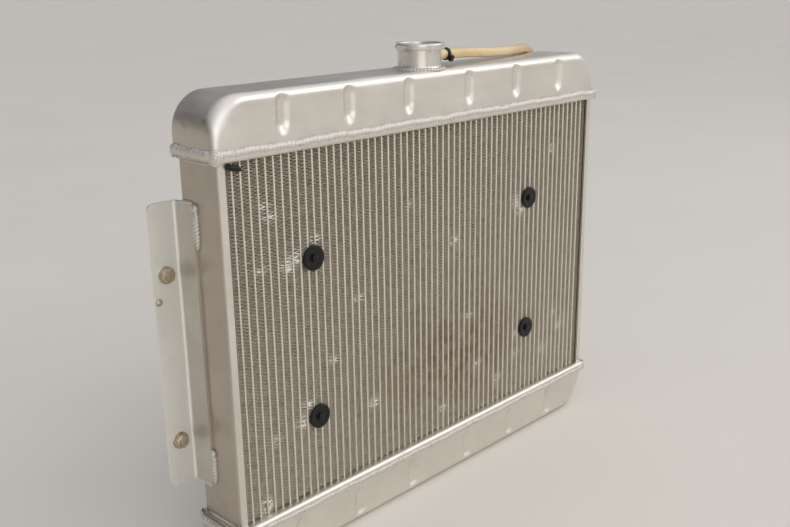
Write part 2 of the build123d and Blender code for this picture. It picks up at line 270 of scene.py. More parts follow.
class Shader(Graph):
    """One procedural material, with its surface's colour, roughness and relief."""

    def __init__(self, name, metallic=0.0, specular=0.5):
        self.material = bpy.data.materials.new(name)
        self.material.use_nodes = True
        super().__init__(self.material.node_tree, "Object")
        self.surface = self.tree.nodes["Principled BSDF"]
        self.surface.inputs["Metallic"].default_value = metallic
        self.surface.inputs["Specular IOR Level"].default_value = specular

    def colour(self, source):
        self.link(source, self.surface.inputs["Base Color"])

    def roughness(self, source):
        self.link(source, self.surface.inputs["Roughness"])

    def bump(self, height, strength, distance):
        made = self.node("ShaderNodeBump", Strength=strength, Distance=distance)
        self.link(height, made.inputs["Height"])
        self.link(made.outputs["Normal"], self.surface.inputs["Normal"])


def sheet_metal(name, light, dark, rough, grain, dirt, side_reflection_paint=None, metallic=0.93):
    """Aluminium sheet: faint rolling lines, cloudy wear, specks and grime.

    The side reflection argument gives the axis of a painted brown reflection on the side faces, the places
    along it where it starts and is full, and its depth.
    """
    rolled = (0.9, 0.88, 0.84)
    grime = (0.16, 0.12, 0.08)
    speck = (0.07, 0.055, 0.045)
    brown = (0.30, 0.22, 0.145)
    scraped = (0.05, 0.045, 0.04)
    s = Shader(name, metallic=metallic)
    clouds = s.noise(14, 6, 0.62)
    lines = s.noise(260, 3, 0.6, s.stretched(*grain))
    specks = s.patches(420, 2, 0.5, 0.66, 0.74)
    stain = s.patches(34, 7, 0.72, 0.56, 0.78)
    tone = s.mix(s.steps(clouds, 0.3, 0.7), dark, light)
    tone = s.mix(s.steps(lines, 0.3, 0.7, 0.0, 0.16), tone, rolled)
    tone = s.mix(s.times(stain, dirt), tone, grime)
    tone = s.mix(s.times(specks, 0.5 * dirt), tone, speck)
    # Painted reflection: a brown tint on the side faces that stands in for the brown surroundings they
    # reflect.
    if side_reflection_paint:
        axis, reflection_start, reflection_full, depth = side_reflection_paint
        reach = s.math("ABSOLUTE", s.axis(axis))
        spread = s.times(s.steps(reach, reflection_start, reflection_full), s.steps(clouds, 0.25, 0.6, 0.75, 1.0))
        tone = s.mix(s.times(spread, depth), tone, brown)
    s.colour(s.mix(s.times(s.attribute("scuff"), 0.9), tone, scraped))
    wear = s.plus(s.steps(clouds, 0.25, 0.75, rough - 0.07, rough + 0.08), s.times(stain, 0.18))
    s.roughness(s.plus(wear, s.steps(lines, 0.3, 0.7, -0.04, 0.05)))
    s.bump(s.plus(s.times(lines, 0.25), s.times(clouds, 0.6)), 0.12, 0.6 * MM)
    return s.material


def weld_metal():
    """Bright weld metal, with painted shade in the hollows between its ripples."""
    dull, bright = (0.66, 0.62, 0.585), (0.80, 0.765, 0.725)
    sooty, dark = (0.30, 0.24, 0.20), (0.15, 0.12, 0.10)
    s = Shader("weld_bead", metallic=0.88)
    grains = s.noise(900, 3, 0.6)
    soot = s.patches(130, 6, 0.75, 0.56, 0.70)
    tone = s.mix(s.steps(grains, 0.35, 0.65), dull, bright)
    tone = s.mix(s.times(soot, 0.4), tone, sooty)
    # Painted shade: the dark colour darkens the thin lines where two ripples meet.
    s.colour(s.mix(s.times(s.attribute("seam_shade_paint"), 0.9), tone, dark))
    s.roughness(s.steps(grains, 0.3, 0.7, 0.50, 0.66))
    s.bump(grains, 0.3, 0.4 * MM)
    return s.material


def tube_metal():
    """Flat tubes: dull metal with patches of dust and small stone nicks."""
    metal, dusty, nicked = (0.79, 0.755, 0.665), (0.68, 0.61, 0.49), (0.92, 0.90, 0.86)
    s = Shader("tube_metal", metallic=0.85)
    dust = s.patches(26, 6, 0.7, 0.46, 0.74)
    nicks = s.patches(310, 2, 0.5, 0.64, 0.70)
    s.colour(s.mix(s.times(nicks, 0.6), s.mix(dust, metal, dusty), nicked))
    s.roughness(s.steps(dust, 0, 1, 0.36, 0.56))
    s.bump(s.noise(500, 3, 0.6), 0.15, 0.3 * MM)
    return s.material


def fin_metal():
    """Fin foil: dusty in patches, brown where mud dried, with a painted highlight on its front edges, and
    bright where it is bent.
    """
    metal, dusty, edge = (0.76, 0.68, 0.53), (0.60, 0.51, 0.36), (0.90, 0.84, 0.72)
    grimy, muddy, bent = (0.20, 0.17, 0.13), (0.46, 0.32, 0.155), (0.97, 0.96, 0.93)
    s = Shader("fin_metal", metallic=0.6)
    dust = s.patches(42, 6, 0.75, 0.36, 0.70)
    grime = s.patches(160, 5, 0.7, 0.50, 0.66)
    mud = s.times(s.attribute("mud"), s.patches(70, 7, 0.78, 0.40, 0.62))
    # Painted highlight: the edge attribute lightens the fins' front edges.
    tone = s.mix(s.attribute("edge"), s.mix(dust, metal, dusty), edge)
    tone = s.mix(s.times(grime, 0.35), tone, grimy)
    tone = s.mix(mud, tone, muddy)
    s.colour(s.mix(s.attribute("bent"), tone, bent))
    s.roughness(s.steps(s.attribute("bent"), 0, 1, 0.5, 0.3))
    louvres = s.node("ShaderNodeTexWave", Scale=190.0, bands_direction="Y")
    s.link(s.place, louvres.inputs["Vector"])
    s.bump(louvres.outputs["Fac"], 0.4, 0.4 * MM)
    return s.material


def black_plastic(name, base, rough):
    """Moulded black plastic with a fine grain and a little dust."""
    dusty = (0.10, 0.09, 0.075)
    s = Shader(name, specular=0.28)
    dust = s.patches(48, 6, 0.7, 0.5, 0.8)
    s.colour(s.mix(s.times(dust, 0.16), base, dusty))
    s.roughness(s.steps(dust, 0.0, 1.0, rough, rough + 0.2))
    s.bump(s.noise(1400, 3, 0.6), 0.18, 0.3 * MM)
    return s.material


def bolt_zinc():
    """Yellowed zinc on bolt heads, with patches of rust."""
    yellow, pale, rusty = (0.44, 0.38, 0.26), (0.68, 0.62, 0.48), (0.15, 0.075, 0.035)
    s = Shader("bolt_zinc", metallic=0.85)
    rust = s.patches(230, 6, 0.75, 0.50, 0.68)
    tone = s.mix(s.steps(s.noise(120), 0.35, 0.65), yellow, pale)
    s.colour(s.mix(s.times(rust, 0.8), tone, rusty))
    s.roughness(s.steps(rust, 0, 1, 0.34, 0.72))
    s.bump(s.noise(700, 4, 0.7), 0.3, 0.3 * MM)
    return s.material


def vinyl():
    """Aged clear vinyl hose, pale cream going amber, brown towards its bend."""
    cream, amber = (0.78, 0.61, 0.34), (0.62, 0.39, 0.13)
    brown, worn = (0.52, 0.26, 0.07), (0.88, 0.76, 0.52)
    s = Shader("aged_vinyl", specular=0.6)
    stain = s.patches(40, 6, 0.7, 0.46, 0.74, s.stretched(0.35, 1, 1))
    far = s.steps(s.axis("X"), 170 * MM, 270 * MM)
    tone = s.mix(s.times(far, 0.85), s.mix(stain, cream, amber), brown)
    s.colour(s.mix(s.steps(s.noise(150, 4, 0.6), 0.55, 0.75, 0.0, 0.3), tone, worn))
    s.surface.inputs["Subsurface Weight"].default_value = 0.35
    s.surface.inputs["Subsurface Radius"].default_value = (6 * MM, 3 * MM, 1 * MM)
    s.surface.inputs["Coat Weight"].default_value = 0.35
    s.surface.inputs["Coat Roughness"].default_value = 0.22
    s.roughness(s.steps(stain, 0, 1, 0.28, 0.5))
    s.bump(s.noise(160, 4, 0.6), 0.15, 0.6 * MM)
    return s.material


def brass():
    """Dull brass with dark tarnish."""
    metal, tarnished = (0.72, 0.52, 0.24), (0.30, 0.20, 0.09)
    s = Shader("dull_brass", metallic=0.9)
    tarnish = s.patches(160, 6, 0.7, 0.42, 0.66)
    s.colour(s.mix(tarnish, metal, tarnished))
    s.roughness(s.steps(tarnish, 0, 1, 0.28, 0.58))
    s.bump(s.noise(600, 3, 0.6), 0.2, 0.3 * MM)
    return s.material


def foam():
    """Black open-celled foam, with painted shade in its pores."""
    pore_shade_paint, wall = (0.012, 0.012, 0.012), (0.06, 0.057, 0.052)
    s = Shader("open_foam", specular=0.2)
    cells = s.noise(900, 2, 0.5)
    # Painted shade: the pores are darker than the cell walls.
    s.colour(s.mix(s.steps(cells, 0.4, 0.6), pore_shade_paint, wall))
    s.roughness(s.steps(cells, 0, 1, 0.85, 0.98))
    s.bump(cells, 0.8, 0.8 * MM)
    return s.material


ALONG_X = (0.06, 1, 1)
ALONG_Z = (1, 1, 0.05)
# The brown side tint given to these sheets is a painted reflection on their end faces and webs.
TANK = sheet_metal(
    "tank_sheet", (0.80, 0.765, 0.705), (0.72, 0.685, 0.625), rough=0.35, grain=ALONG_X, dirt=0.16,
    side_reflection_paint=("X", tank_high.x - 5.8 * MM, tank_high.x - 2.3 * MM, 0.4),
)
HEADER = sheet_metal(
    "header_sheet", (0.80, 0.77, 0.72), (0.70, 0.67, 0.61), rough=0.34, grain=ALONG_X, dirt=0.3,
    side_reflection_paint=("X", header_high.x - 10 * MM, header_high.x - 3.5 * MM, 0.6),
)
CHANNEL = sheet_metal(
    "channel_sheet", (0.80, 0.765, 0.71), (0.70, 0.66, 0.60), rough=0.34, grain=ALONG_Z, dirt=0.3,
    side_reflection_paint=("X", channel_out - 2.5 * MM, channel_out - 1.1 * MM, 0.6),
)
ANGLE = sheet_metal(
    "angle_sheet", (0.92, 0.925, 0.885), (0.86, 0.86, 0.82), rough=0.38, grain=ALONG_Z, dirt=0.16,
    side_reflection_paint=("Y", FLANGE_THICK + 0.6 * MM, FLANGE_THICK + 3 * MM, 0.62), metallic=0.6,
)
NECK = sheet_metal(
    "neck_metal", (0.80, 0.77, 0.72), (0.66, 0.62, 0.57), rough=0.30, grain=(1, 1, 0.1), dirt=0.45,
)
WELD = weld_metal()
TUBE = tube_metal()
FIN = fin_metal()
TIE_PLASTIC = black_plastic("tie_plastic", (0.006, 0.006, 0.007), 0.34)
FAN_PLASTIC = black_plastic("fan_plastic", (0.022, 0.022, 0.024), 0.48)
MOTOR_PAINT = black_plastic("motor_paint", (0.03, 0.03, 0.032), 0.34)
ZINC = bolt_zinc()
VINYL = vinyl()
BRASS = brass()
FOAM = foam()


# Mesh helpers

def add_object(name, data):
    """A new object in the scene."""
    made = bpy.data.objects.new(name, data)
    bpy.context.scene.collection.objects.link(made)
    return made


def add_piece(name, data, replaced, body=ROOT):
    """A piece that rides on a body, and may stand for a CAD node."""
    made = add_object(name, data)
    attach(made, body)
    if replaced:
        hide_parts(replaced)
    return made


def piece(name, parts, material, replaced=None, body=ROOT, sharp=35):
    """A mesh piece made of (points, faces) parts, with edges past the angle sharp kept crisp."""
    points, faces = [], []
    for some_points, some_faces in parts:
        start = len(points)
        points.extend(tuple(p) for p in some_points)
        faces.extend(tuple(start + i for i in face) for face in some_faces)
    mesh = bpy.data.meshes.new(name)
    mesh.from_pydata(points, [], faces)
    mesh.validate()
    mesh.polygons.foreach_set("use_smooth", [True] * len(mesh.polygons))
    if sharp:
        mesh.set_sharp_from_angle(angle=math.radians(sharp))
    mesh.materials.append(material)
    return add_piece(name, mesh, replaced, body)


def add_layer(made, name, values):
    """One number for each point of a piece, which its material reads."""
    layer = made.data.attributes.new(name, "FLOAT", "POINT")
    layer.data.foreach_set("value", values)


def turns(count):
    """Even angles round a full turn, in radians."""
    return [2 * math.pi * k / count for k in range(count)]


def rotation(degrees, axis):
    """A rotation about an axis."""
    return Matrix.Rotation(math.radians(degrees), 4, axis)


def polar(radius, angle, height):
    """A point at a radius and angle round the Z axis."""
    return Vector((radius * math.cos(angle), radius * math.sin(angle), height))


def grid_faces(rows, columns, closed_rows=False, closed_columns=True, start=0):
    """Quads over a grid of points that are listed row by row."""
    faces = []
    for i in range(rows if closed_rows else rows - 1):
        this_row = start + i * columns
        next_row = start + (i + 1) % rows * columns
        for j in range(columns if closed_columns else columns - 1):
            k = (j + 1) % columns
            faces.append((this_row + j, this_row + k, next_row + k, next_row + j))
    return faces


def tube_faces(stations, around):
    """The faces of a tube of rings, with a cap on each end."""
    last = (stations - 1) * around
    caps = [tuple(reversed(range(around))), tuple(range(last, last + around))]
    return grid_faces(stations, around) + caps


def lathe(profile, place, count, turn=None):
    """Turns a closed outline of (radius, height) points round a place's Z axis.

    turn gives the start and end in degrees where it isn't a whole turn; both ends are then capped.
    """
    start, end = turn or (0.0, 360.0)
    rows = count + 1 if turn else count
    points = []
    for i in range(rows):
        a = math.radians(start + (end - start) * i / count)
        points.extend(place @ polar(r, a, h) for r, h in profile)
    if turn:
        return points, tube_faces(rows, len(profile))
    return points, grid_faces(rows, len(profile), closed_rows=True)


def arc(cx, cz, radius, start, end, count):
    """Points of an arc in a profile, from one angle to another in degrees."""
    angles = [math.radians(start + (end - start) * i / count) for i in range(count + 1)]
    return [(cx + radius * math.cos(a), cz + radius * math.sin(a)) for a in angles]


def rounded_loop(half_x, half_y, radius, step):
    """A rounded rectangle around the core as (point, outward normal, length along it)."""
    samples = []
    length = 0.0
    for quarter in range(4):
        along, across = (half_y, half_x) if quarter % 2 else (half_x, half_y)
        spin = Matrix.Rotation(quarter * math.pi / 2, 2)
        run = 2 * (across - radius)
        count = max(2, round(run / step))
        for i in range(count):
            s = run * i / count
            samples.append((spin @ Vector((along, radius - across + s)), spin @ Vector((1, 0)), length + s))
        length += run
        bend = radius * math.pi / 2
        centre = Vector((along - radius, across - radius))
        count = max(3, round(bend / step))
        for i in range(count):
            a = (math.pi / 2) * i / count
            normal = Vector((math.cos(a), math.sin(a)))
            samples.append((spin @ (centre + radius * normal), spin @ normal, length + radius * a))
        length += bend
    return samples


def smooth_step(value, low, high):
    """An eased step from 0 at low to 1 at high."""
    t = min(1.0, max(0.0, (value - low) / (high - low)))
    return t * t * (3 - 2 * t)


def patch_amount(spot, patches, falloff=1.0):
    """How strongly a place lies in one of some round patches, from 0 to 1."""
    here = [value / MM for value in spot]
    nearest = min(math.dist(here, centre) / radius for *centre, radius in patches)
    return math.exp(-falloff * nearest ** 2)


# Tanks

def groove_amount(x, height, full):
    """How far the pressed grooves reach at this place, from 0 to 1; their lower ends are drawn out."""
    across = min(abs(x - g) for g in GROOVES)
    past = max(0.0, GROOVE_STRETCH * (GROOVE_LOW - height), height - (full - GROOVE_TOP_GAP))
    return 1 - smooth_step(math.hypot(across, past), GROOVE_FLAT, GROOVE_FLAT + GROOVE_SHOULDER)


def edge_radius(x, height, half_x, full, side):
    """The pressed edge's radius: small at the foot and rear, moderate along the top, large round the end."""
    if side > 0:
        return TANK_REAR_EDGE
    turn = math.degrees(math.atan2(height - (full - TANK_END), abs(x) - (half_x - TANK_END)))
    corner = math.exp(-((turn / TANK_CORNER_TURN - 1) ** 2))
    plain = TANK_FOOT_EDGE + (TANK_EDGE - TANK_FOOT_EDGE) * smooth_step(height, 0, full - TANK_END)
    return plain + (TANK_CORNER_EDGE - plain) * corner


def outline_distance(x, height, half_x, full):
    """How far inside the tank's outline a place on its flat face lies."""
    over_x = abs(x) - (half_x - TANK_END)
    over_z = height - (full - TANK_END)
    if over_x > 0 and over_z > 0:
        return TANK_END - math.hypot(over_x, over_z)
    return min(half_x - abs(x), full - height)


def tank_columns(half_x, height):
    """The flat face's columns: x, and the height at which its upper edge starts to bend."""
    straight = half_x - TANK_END
    reach = TANK_END - TANK_EDGE
    xs = [-straight + 2 * straight * i / SKIN_COLUMNS for i in range(SKIN_COLUMNS + 1)]
    middle = [(x, height - TANK_EDGE) for x in xs]
    bend = []
    for i in range(1, END_STEPS):
        a = math.radians(90 * i / END_STEPS)
        bend.append((straight + reach * math.sin(a), height - TANK_END + reach * math.cos(a)))
    bend.append((half_x - TANK_EDGE, height - TANK_END))
    return [(-x, z) for x, z in reversed(bend)] + middle + bend


def tank_path(columns, half_x, height):
    """The way round the flat face, from one foot over the top to the other: key, x, z and way outward."""
    inner_x = half_x - TANK_EDGE
    straight = half_x - TANK_END
    shoulder = height - TANK_END
    path = []
    for j in range(SKIN_ROWS):
        path.append(((0, j), -inner_x, shoulder * j / SKIN_ROWS, (-1.0, 0.0)))
    for i, (x, z) in enumerate(columns):
        direction = (0.0, 1.0)
        if abs(x) > straight + 1e-9:
            offset = Vector((abs(x) - straight, z - shoulder)).normalized()
            direction = (math.copysign(offset.x, x), offset.y)
        path.append(((i, SKIN_ROWS), x, z, direction))
    for j in reversed(range(SKIN_ROWS)):
        path.append(((len(columns) - 1, j), inner_x, shoulder * j / SKIN_ROWS, (1.0, 0.0)))
    return path


def tank_skin(name, replaced, low, high, sense):
    """A stamped tank: flat faces with pressed grooves, softly rounded edges and large rounded ends.

    sense is 1 for a tank that stands on its foot and -1 for one that hangs from it.
    """
    half_x = (high.x - low.x) / 2
    half_y = (high.y - low.y) / 2
    height = high.z - low.z
    foot = low.z if sense > 0 else high.z
    columns = tank_columns(half_x, height)
    points, index, faces = [], {}, []

    def add(key, x, z, side):
        """A point on the front or rear, from the flat face to the edge's end."""
        if key not in index:
            radius = edge_radius(x, z, half_x, height, side)
            inside = max(0.0, outline_distance(x, z, half_x, height))
            lean = max(0.0, radius - inside) / radius
            fall = radius * (1 - math.sqrt(max(0.0, 1 - lean * lean)))
            inward = GROOVE_DEPTH * groove_amount(x, z, height) * smooth_step(inside, 0, GROOVE_FADE)
            inset = TANK_FRONT_INSET if side < 0 else 0.0
            y = core_y + side * (half_y - inset - fall - inward)
            level = foot + sense * z
            dent = FACE_DENT * patch_amount((x, y, level), SCUFFS)
            index[key] = len(points)
            points.append((x, y - side * dent, level))
        return index[key]

    for side in (-1, 1):
        for i in range(len(columns) - 1):
            for j in range(SKIN_ROWS):
                quad = []
                for ii, jj in ((i, j), (i + 1, j), (i + 1, j + 1), (i, j + 1)):
                    x, top = columns[ii]
                    quad.append(add((side, ii, jj), x, top * jj / SKIN_ROWS, side))
                faces.append(tuple(quad))
    ring = []
    for key, x, z, (nx, nz) in tank_path(columns, half_x, height):
        line = [add((-1, *key), x, z, -1)]
        ends = []
        for side in (-1, 1):
            edge = []
            for m in range(1, EDGE_STEPS + 1):
                reach = TANK_EDGE * math.sin(math.pi / 2 * m / EDGE_STEPS)
                edge.append(add((side, "edge", *key, m), x + nx * reach, z + nz * reach, side))
            ends.append(edge)
        line += ends[0]
        first, last = Vector(points[ends[0][-1]]), Vector(points[ends[1][-1]])
        for k in range(1, ACROSS_STEPS):
            t = k / ACROSS_STEPS
            spot = first.lerp(last, t)
            dent = END_DENT * patch_amount(spot, SCUFFS) - TANK_CROWN * abs(nx) * math.sin(math.pi * t)
            line.append(len(points))
            points.append((spot.x - nx * dent, spot.y, spot.z - sense * nz * dent))
        line += list(reversed(ends[1])) + [add((1, *key), x, z, 1)]
        ring.append(line)
    for a, b in zip(ring, ring[1:]):
        faces.extend((a[k], a[k + 1], b[k + 1], b[k]) for k in range(len(a) - 1))
    skin = piece(name, [(points, faces)], TANK, replaced, sharp=0)
    turn_outward(skin)
    add_layer(skin, "scuff", [patch_amount(v.co, SCUFFS) for v in skin.data.vertices])


def turn_outward(made):
    """Makes the faces of a closed or nearly closed piece look outward."""
    work = bmesh.new()
    work.from_mesh(made.data)
    bmesh.ops.remove_doubles(work, verts=work.verts, dist=1e-6)
    bmesh.ops.recalc_face_normals(work, faces=work.faces)
    work.to_mesh(made.data)
    work.free()


# Welds

def painted_seam_shade(phase):
    """How much painted shade a weld gets at this part of a ripple: a thin line where two ripples meet."""
    return max(0.0, 1 - min(phase, 1 - phase) / 0.13)


def crest(phase, rise=6):
    """A ripple's height about its mean: a quick rise, then a slow fall."""
    return (1 - phase) ** 0.6 * min(1.0, phase * rise) - 0.45


def bead_band(samples, level):
    """A rippled weld around a header: overlapping crescents, larger at the ends than along the front."""
    points, seams = [], []
    for place, normal, s in samples:
        end = abs(normal.x) ** 2
        swell = 1 + 0.22 * end + 0.06 * math.sin(370.0 * s) + 0.05 * math.sin(911.0 * s + 1.3)
        step = BEAD_PITCH * (1 + 0.05 * end)
        drift = 0.5 * MM * math.sin(57.0 * s) + 0.35 * MM * math.sin(173.0 * s)
        for a in turns(BEAD_AROUND):
            phase = (s / step + 0.40 * math.cos(a) + 0.12 * math.sin(0.9 * s / step)) % 1.0
            ripple = 1 + (0.10 + 0.36 * end) * crest(phase, 7)
            spot = place + normal * (BEAD_WIDE * swell * ripple * math.cos(a) - BEAD_INSET)
            up = drift + BEAD_HIGH * swell * (0.5 + 0.5 * ripple) * math.sin(a)
            points.append((spot.x, core_y + spot.y, level + up))
            seams.append(painted_seam_shade(phase) * (0.25 + 0.75 * end))
    return points, grid_faces(len(samples), BEAD_AROUND, closed_rows=True), seams


def header_weld(rim_z, sense, step):
    """The weld between a header's rim and its tank, with a swirl at each corner; sense is as for a tank."""
    half_x = (header_high.x - header_low.x) / 2
    half_y = (header_high.y - header_low.y) / 2
    middle = rim_z - sense * BEAD_DROP
    parts = [bead_band(rounded_loop(half_x, half_y, HEADER_CORNER, step), middle)]
    for sx, sy, radius in SWIRLS:
        centre = (sx * (half_x - HEADER_CORNER), core_y + sy * (half_y - HEADER_CORNER))
        parts.append(swirl(centre, math.atan2(sy, sx), middle - sense * 2.2 * MM, radius * MM))
    return parts


def swirl(centre, facing, level, size):
    """A weld's end: a low round mound with a spiral ripple, laid around a header's corner."""
    rings, around = 24, 56
    mound_high = 3.1 * MM
    sunk = 0.9 * MM
    points, seams = [], []
    for i in range(rings):
        r = size * (i + 0.3) / (rings - 0.7)
        mound = mound_high * math.sqrt(max(0.0, 1 - (r / size) ** 2.4))
        for k, a in enumerate(turns(around)):
            spiral = (r / (0.34 * size) - k / around) % 1.0
            reach = HEADER_CORNER + mound * (0.80 + 0.22 * (1 - spiral) * min(1.0, 5 * spiral)) - sunk
            turn = facing + r * math.cos(a) / (HEADER_CORNER + 1 * MM)
            x, y = centre[0] + reach * math.cos(turn), centre[1] + reach * math.sin(turn)
            points.append((x, y, level + r * math.sin(a)))
            seams.append(painted_seam_shade(spiral) * 0.8)
    return points, grid_faces(rings, around) + [tuple(reversed(range(around)))], seams


def straight_weld(start, end, normal, side, size, pitch):
    """A rippled weld between two points, lying in the corner between two directions."""
    run = end - start
    count = max(8, round(run.length / (0.4 * MM)))
    around = 12
    points, seams = [], []
    for i in range(count + 1):
        t = i / count
        s = run.length * t
        ends = min(1.0, 4.0 * min(t, 1 - t) + 0.15)
        for a in turns(around):
            phase = (s / pitch + 0.45 * math.cos(a)) % 1.0
            ripple = (1 + 0.3 * crest(phase)) * ends ** 0.5
            offset = normal * (size * ripple * math.cos(a)) + side * (size * 0.8 * ripple * math.sin(a))
            points.append(start + run * t + offset)
            seams.append(painted_seam_shade(phase) * 0.4)
    return points, tube_faces(count + 1, around), seams


def ring_weld(centre, axis, radius, edge=None):
    """A rippled weld around a round neck; edge gives the tank's flat half depth, past which it drops."""
    turn = axis.to_track_quat("Z", "Y").to_matrix()
    count = round(2 * math.pi * radius / (0.5 * MM))
    pitch = 3.8 * MM
    around = 12
    points, seams = [], []
    for t in turns(count):
        for a in turns(around):
            phase = (radius * t / pitch + 0.45 * math.cos(a)) % 1.0
            bead = NECK_BEAD * (1 + 0.35 * crest(phase) + 0.08 * math.sin(7 * t))
            spot = centre + turn @ polar(radius + 1.3 * bead * math.cos(a), t, bead * math.sin(a))
            if edge is not None:
                past = max(0.0, abs(spot.y - centre.y) - edge)
                spot.z -= TANK_EDGE - math.sqrt(max(0.0, TANK_EDGE ** 2 - min(past, TANK_EDGE) ** 2))
            points.append(spot)
            seams.append(painted_seam_shade(phase))
    return points, grid_faces(count, around, closed_rows=True), seams


def cross_weld(side, ys, z, up, gap, lift, size, pitch):
    """A weld across a channel's outer face, just above or below an edge at z."""
    ends = [Vector((side * (channel_out + gap), y, z + up * lift)) for y in ys]
    return straight_weld(*ends, Vector((side, 0, 0)), Vector((0, 0, up)), size, pitch)


def frame_welds():
    """The short welds that hold the side angles and channels."""
    web_ys = (-12 * MM, angle_low.y + 2 * MM)
    channel_ys = (channel_low.y + 8 * MM, channel_high.y - 8 * MM)
    parts = []
    for side in (-1, 1):
        out = Vector((side, 0, 0))
        x, y = side * (channel_out + 1 * MM), angle_low.y - 2.2 * MM
        for heights in WEB_WELDS:
            start, end, last = (Vector((x, y, z * MM)) for z in heights)
            parts.append(straight_weld(start, end, out * 0.75, Vector((0, -1, 0)), 4 * MM, 3.9 * MM))
            parts.append(dab(last + out * 0.8 * MM, 4.4 * MM))
        for z, up in ((angle_high.z, 1), (angle_low.z, -1)):
            parts.append(cross_weld(side, web_ys, z, up, 1.2 * MM, 0.4 * MM, 2.3 * MM, 3 * MM))
        for z, up in ((header_low.z, -1), (base_high.z, 1)):
            parts.append(cross_weld(side, channel_ys, z, up, 0.6 * MM, 0.6 * MM, 1.9 * MM, 3.6 * MM))
    return parts


def dab(centre, size):
    """A small rounded dab of weld."""
    points = []
    stations, around = 8, 14
    for i in range(1, stations):
        a = math.pi * i / stations
        for b in turns(around):
            wobble = 1 + 0.08 * math.sin(3 * b + 2 * a)
            ball = polar(math.sin(a), b, math.cos(a))
            ball.x *= 0.7
            points.append(centre + size * wobble * ball)
    return points, tube_faces(stations - 1, around), [0.0] * len(points)


def all_welds():
    """Every weld bead as one piece, with the painted shade of its ripples."""
    neck_foot = Vector((0, core_y, tank_high.z))
    flat = tank_high.y - core_y - TANK_EDGE
    parts = header_weld(header_high.z, 1, BEAD_STEP_TOP) + header_weld(base_low.z, -1, BEAD_STEP_LOW)
    parts.append(ring_weld(neck_foot, Vector((0, 0, 1)), NECK_R + 2.6 * MM, edge=flat))
    for low, high in hose_neck_ends:
        foot = Vector(((low.x + high.x) / 2, tank_high.y, (low.z + high.z) / 2))
        parts.append(ring_weld(foot, Vector((0, 1, 0)), HOSE_NECK_R + 0.8 * MM))
    parts += frame_welds()
    skins = [(points, faces) for points, faces, _ in parts]
    made = piece("welds", skins, WELD, "weld_beads", sharp=0)
    # This layer carries the painted shade between the ripples.
    add_layer(made, "seam_shade_paint", [shade for _, _, seams in parts for shade in seams])


# Core

def fins():
    """Folded fins between the tubes, their front edges a little uneven and bent in patches."""
    rng = random.Random(59)
    low, high = core_low.z + 0.5 * MM, core_high.z - 0.2 * MM
    period = 2 * (FIN_BEND + FIN_RISE)
    folded = ((-1, 0.0), (1, FIN_RISE), (1, FIN_RISE + FIN_BEND), (-1, 2 * FIN_RISE + FIN_BEND))
    folds = int((high - low) / period)
    front, rear = core_low.y, core_high.y
    half = (PITCH - TUBE_THICK) / 2 * FIN_FILL
    points, faces, bent, mud, edge = [], [], [], [], []
    for bank in range(TUBES + 1):
        middle = (bank - TUBES / 2) * PITCH
        shift = rng.uniform(0, period * 0.5)
        rows = 0
        start = len(points)
        for fold in range(folds):
            z = low + shift + fold * period
            for x_side, rise in folded:
                level = z + rise
                if level > high:
                    continue
                x = middle + x_side * half
                amount = patch_amount((x, level), BENT_PATCHES, 1.4)
                swing = rng.gauss(0, 0.13 * MM) + rng.gauss(0, 1.5 * MM) * amount
                pull = rng.uniform(0.0, 0.3 * MM) + rng.uniform(0, 2.4 * MM) * amount
                inward = -x_side * rng.uniform(0, 2.0 * MM) * amount
                lip = FIN_LIP * rng.uniform(0.7, 1.3) + 2.8 * MM * amount * rng.uniform(0.1, 1.0)
                brown = math.exp(-((x - MUD_X) / MUD_WIDE) ** 2 - ((level - MUD_Z) / MUD_HIGH) ** 2)
                points.append((x + inward, front + pull, level + swing - lip))
                points.append((x + inward, front + pull, level + swing))
                points.append((x, front + pull + FIN_SOFT, level + 0.2 * swing))
                points.append((x, rear, level))
                shine = min(1.0, amount * 2.2 * rng.uniform(0.25, 1.2))
                bent.extend((shine, shine, 0.25 * shine, 0.0))
                mud.extend((brown, brown, brown, 0.4 * brown))
                # Painted highlight on the front edge, fading out within the first few millimetres.
                edge.extend((1.0, 1.0, 0.0, 0.0))
                rows += 1
        faces.extend(grid_faces(rows, 4, closed_columns=False, start=start))
    made = piece("fins", [(points, faces)], FIN, "core_fins", sharp=40)
    for name, values in (("bent", bent), ("mud", mud), ("edge", edge)):
        add_layer(made, name, values)


def tubes():
    """Flat tubes with rounded noses."""
    half_t = TUBE_THICK / 2
    half_d = (tube_high.y - tube_low.y) / 2
    outline = [(x, half_d - half_t + y) for x, y in arc(0, 0, half_t, 0, 180, 8)]
    outline += [(x, -half_d + half_t + y) for x, y in arc(0, 0, half_t, 180, 360, 8)]
    run = tube_high.z - tube_low.z
    levels = [tube_low.z + run * i / TUBE_STEPS for i in range(TUBE_STEPS + 1)]
    rng = random.Random(11)
    parts = []
    for i in range(TUBES):
        middle = (i - (TUBES - 1) / 2) * PITCH
        points = []
        for z in levels:
            wander = rng.gauss(0, 0.07 * MM)
            points.extend((middle + wander + x, core_y + y, z) for x, y in outline)
        parts.append((points, tube_faces(len(levels), len(outline))))
    piece("tubes", parts, TUBE, "core_tubes", sharp=50)


# Filler neck

